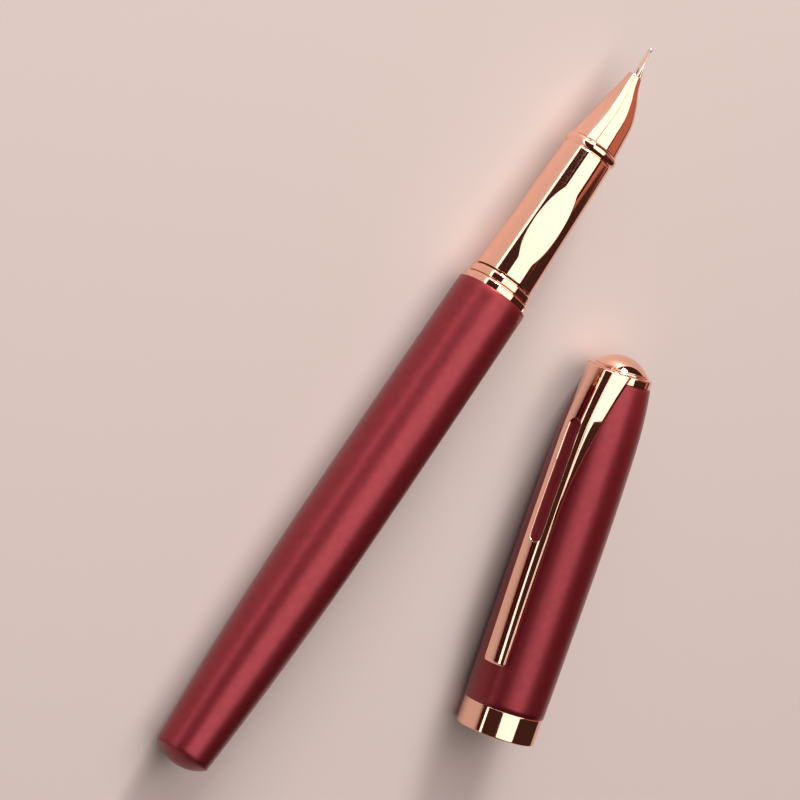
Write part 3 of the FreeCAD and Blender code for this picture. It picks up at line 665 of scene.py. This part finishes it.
BALL_X, BALL_HALF_LENGTH, BALL_HALF_WIDTH, BALL_POWER = 14.0, 2.8, 1.4, 6
BALL_FLOOR, BALL_DROP, BALL_CLEARANCE = 6.9, 0.57, 0.06
SLOT_START, SLOT_END, SLOT_HALF, SLOT_DEPTH = 29.4, 48.5, 0.95, 0.42
SLOT_RIM, SLOT_WALL = 0.03, 0.09
INLAY_GAP, INLAY_RISE, INLAY_UNDER, INLAY_CROWN, LEAST_INLAY = 0.04, 0.2, 0.1, 1.7, 0.01
INLAY_STEPS, INLAY_END_STEPS, INLAY_ROWS, INLAY_END_ROOM, INLAY_FLAT = 16, 12, 60, 0.3, 0.8


def slot_depth(x, y):
    """How deep the clip's top is sunk at a place: a long pill with steep walls and an eased rim."""
    along = min(max(x, SLOT_START + SLOT_HALF), SLOT_END - SLOT_HALF)
    inside = SLOT_HALF - math.hypot(x - along, y)
    wall = min(max((inside + SLOT_RIM) / SLOT_WALL, 0.0), 1.0)
    return SLOT_DEPTH * wall * wall * (3 - 2 * wall)


def flank_foot(below, above, saddle):
    """Where the clip's flank starts: its lowest point that stays outside the saddle round the tube."""
    points = [mixed(below, above, step / FLANK_SEARCH) for step in range(FLANK_SEARCH + 1)]
    outside = next((k for k, point in enumerate(points) if math.hypot(*point) >= saddle), 0)
    if outside == 0:
        return points[0]
    inner, outer = points[outside - 1], points[outside]
    share = (saddle - math.hypot(*inner)) / (math.hypot(*outer) - math.hypot(*inner))
    return mixed(inner, outer, share)


def clip_underside(x, foot, saddle):
    """The underside from the left foot to the right: the saddle round the tube, and the ball at the tip."""
    along = (x - BALL_X) / BALL_HALF_LENGTH
    points = []
    for k in range(1, UNDER_STEPS):
        y = -foot[0] + 2 * foot[0] * k / UNDER_STEPS
        floor = max(foot[1], math.sqrt(max(saddle**2 - y * y, 0)))
        if abs(along) < 1 and abs(y) < BALL_HALF_WIDTH:
            drop = BALL_DROP * (1 - along * along) * (1 - (abs(y) / BALL_HALF_WIDTH) ** BALL_POWER)
            floor = max(min(floor, BALL_FLOOR - drop), tube_radius(x) + BALL_CLEARANCE)
        points.append((y, floor))
    return points


def clip_section(x, tip_shrink, tip_drop):
    """The clip's outline across X: up one flank, over the crowned top, down the other, back under."""
    half, top_half, low, high, crown = spline(CLIP, x)
    half, top_half = half - tip_shrink, top_half - tip_shrink
    shoulder = high - tip_drop - crown
    saddle = tube_radius(x) + CLIP_GAP
    foot = flank_foot((half, low), (top_half, shoulder), saddle)
    right = [mixed(foot, (top_half, shoulder), step / FLANK_STEPS) for step in range(FLANK_STEPS)]
    corner_foot = shoulder - CLIP_EASE
    right[-1] = (right[-1][0], min(right[-1][1], corner_foot - CORNER_DROP))
    inner_half = top_half - CLIP_EASE
    right += [(inner_half + CLIP_EASE * math.cos(turn), corner_foot + CLIP_EASE * math.sin(turn))
              for turn in quarter(CORNER_STEPS)]
    top = []
    for k in range(1, TOP_STEPS):
        y = inner_half * (1 - 2 * k / TOP_STEPS)
        top.append((y, shoulder + crown * (1 - (y / inner_half) ** 2) - slot_depth(x, y)))
    left = [(-y, z) for y, z in reversed(right)]
    return right + top + left + clip_underside(x, foot, saddle)


def clip_bar():
    """The sprung clip: crowned top with a sunk slot, flanks that flare into a saddle at the root."""
    stations = []
    for turn in quarter(TIP_STEPS):
        shrink = TIP_ROUND * (1 - math.sin(turn))
        stations.append((CLIP_TIP + TIP_ROUND * (1 - math.cos(turn)), shrink, shrink * TIP_FALL))
    stations += [(x, 0.0, 0.0) for run in CLIP_RUNS for x in spread(*run)]
    stations += [(CLIP_ROOT - short, shrink, shrink) for short, shrink in ROOT_EASE]
    rows = [clip_section(*station) for station in stations]
    count = len(rows[0])
    verts = [(station[0], y, z) for station, row in zip(stations, rows) for y, z in row]
    faces = stitched(len(rows), count, closed=False)
    faces += [tuple(range(count)), tuple(range(len(verts) - count, len(verts)))]
    finish_mesh("clip_polished", verts, faces, CAP, "clip", "rose_gold", "clip")


def slot_inlay():
    """The coloured strip in the clip's slot, laid in rows so that it follows the clip's bow."""
    inset = SLOT_HALF - INLAY_GAP
    first, last = SLOT_START + SLOT_HALF, SLOT_END - SLOT_HALF
    round_end = [(inset * math.cos(turn), inset * math.sin(turn)) for turn in quarter(INLAY_END_STEPS)]
    stations = [(first - out, width) for out, width in round_end]
    stations += [(x, inset) for x in spread(first + INLAY_END_ROOM, last - INLAY_END_ROOM, INLAY_ROWS)]
    stations += [(last + out, width) for out, width in reversed(round_end)]
    verts = []
    for x, width in stations:
        high, crown = spline(CLIP, x)[3:5]
        places = [max(width, LEAST_INLAY) * (2 * k / INLAY_STEPS - 1) for k in range(INLAY_STEPS + 1)]
        for k, y in enumerate(places):
            top = high - crown * (y / INLAY_CROWN) ** 2 - SLOT_DEPTH + INLAY_RISE
            verts.append((x, y, top - plate_ease(k, INLAY_STEPS, INLAY_FLAT)))
        verts += [(x, y, high - SLOT_DEPTH - INLAY_UNDER) for y in places]
    faces = plate_faces(0, len(stations), INLAY_STEPS)
    finish_mesh("inlay_strip", verts, faces, CAP, "clip", "burgundy_lacquer", "clip_inlay")


barrel()
tail_end()
joint_band("joint_band", start=81.55, radius=5.15, neck=4.75, body="joint_ring", node="joint_ring")
joint_band("collar_band", start=82.9, radius=4.9, neck=4.5, body="collar_ring", node="collar_ring")
grip()
hood()
nib()
tipping()
feed_piece()
cap_body()
cap_lip()
cap_crown()
finial()
clip_bar()
slot_inlay()


# ------------------------------------------------------------------ camera and floor

AZIMUTH, ELEVATION, ROLL = math.radians(-8.056), math.radians(46.729), math.radians(114.987)
DISTANCE, LENS, SENSOR = 1.0, 311.8, 36.0
NEAREST, FARTHEST = 0.05, 20.0
AIM = (0.001635, -0.008946, 0.006)
FLOOR_HALF, FLOOR_COLOUR, FLOOR_ROUGHNESS, FLOOR_GLOSS = 3.0, (0.6, 0.52, 0.5), 0.6, 0.2

level = Vector((math.cos(AZIMUTH), math.sin(AZIMUTH), 0))
toward_camera = Vector((math.sin(AZIMUTH), -math.cos(AZIMUTH), 0))
back = toward_camera * math.cos(ELEVATION) + Vector((0, 0, math.sin(ELEVATION)))
rise = back.cross(level)
target = level * AIM[0] + rise * AIM[1] + Vector((0, 0, AIM[2]))
right = level * math.cos(ROLL) + rise * math.sin(ROLL)
up = rise * math.cos(ROLL) - level * math.sin(ROLL)


def placed(origin, x_axis, y_axis, z_axis):
    """A matrix that puts an object at origin with its axes along three unit vectors."""
    return Matrix.Translation(origin) @ Matrix((x_axis, y_axis, z_axis)).transposed().to_4x4()


def add_camera():
    data = bpy.data.cameras.new("camera")
    data.lens = LENS
    data.sensor_width = SENSOR
    data.clip_start, data.clip_end = NEAREST, FARTHEST
    camera = bpy.data.objects.new("camera", data)
    bpy.context.collection.objects.link(camera)
    camera.matrix_world = placed(target + back * DISTANCE, right, up, back)
    bpy.context.scene.camera = camera


def add_floor():
    mesh = bpy.data.meshes.new("floor")
    corners = [(x * FLOOR_HALF, y * FLOOR_HALF, 0) for x, y in ((-1, -1), (1, -1), (1, 1), (-1, 1))]
    mesh.from_pydata(corners, [], [(0, 1, 2, 3)])
    floor = bpy.data.objects.new("floor", mesh)
    bpy.context.collection.objects.link(floor)
    mesh.materials.append(new_material("floor_paper", FLOOR_COLOUR, metallic=0.0, roughness=FLOOR_ROUGHNESS,
                                       Specular_IOR_Level=FLOOR_GLOSS))


# ------------------------------------------------------------------ lights

PANEL_DISTANCE = 1.3
WARM_WHITE, GLOW_RED = (1.0, 0.97, 0.93), (1.0, 0.36, 0.24)
ROOM_COLOUR = (0.05, 0.022, 0.018, 1)


def toward(swing, tilt):
    """A direction from the target, swung from the camera across the pen and tilted towards the nib."""
    over = across(pen_along, back)
    side = over.cross(back)
    swing, tilt = math.radians(swing), math.radians(tilt)
    flat = back * math.cos(swing) + side * math.sin(swing)
    return flat * math.cos(tilt) + over * math.sin(tilt)


def panel(name, swings, tilts, radiance, colour):
    """A soft light panel that fills a span of swing and of tilt as seen from the target, in degrees."""
    facing = toward(sum(swings) / 2, sum(tilts) / 2)
    data = bpy.data.lights.new(name, "AREA")
    data.shape = "RECTANGLE"
    data.size = 2 * PANEL_DISTANCE * math.tan(math.radians(swings[1] - swings[0]) / 2)
    data.size_y = 2 * PANEL_DISTANCE * math.tan(math.radians(tilts[1] - tilts[0]) / 2)
    data.energy = radiance * math.pi * data.size * data.size_y
    data.color = colour
    light = bpy.data.objects.new(name, data)
    bpy.context.collection.objects.link(light)
    tall = across(pen_along, facing)
    light.matrix_world = placed(target + facing * PANEL_DISTANCE, tall.cross(facing), tall, facing)


add_camera()
add_floor()
panel("overhead", (3, 60), (-15, 58), radiance=1.95, colour=WARM_WHITE)
panel("side_strip", (-56, -38), (-45, 36), radiance=2.4, colour=WARM_WHITE)
panel("nib_end", (-60, -13), (25, 60), radiance=2.0, colour=WARM_WHITE)
panel("far_fill", (76, 128), (14, 50), radiance=0.45, colour=GLOW_RED)
panel("key", (-22, -8), (62, 76), radiance=70.0, colour=WARM_WHITE)

world = bpy.data.worlds.new("room")
world.use_nodes = True
world.node_tree.nodes["Background"].inputs["Color"].default_value = ROOM_COLOUR
bpy.context.scene.world = world
bpy.context.scene.view_settings.view_transform = "Standard"
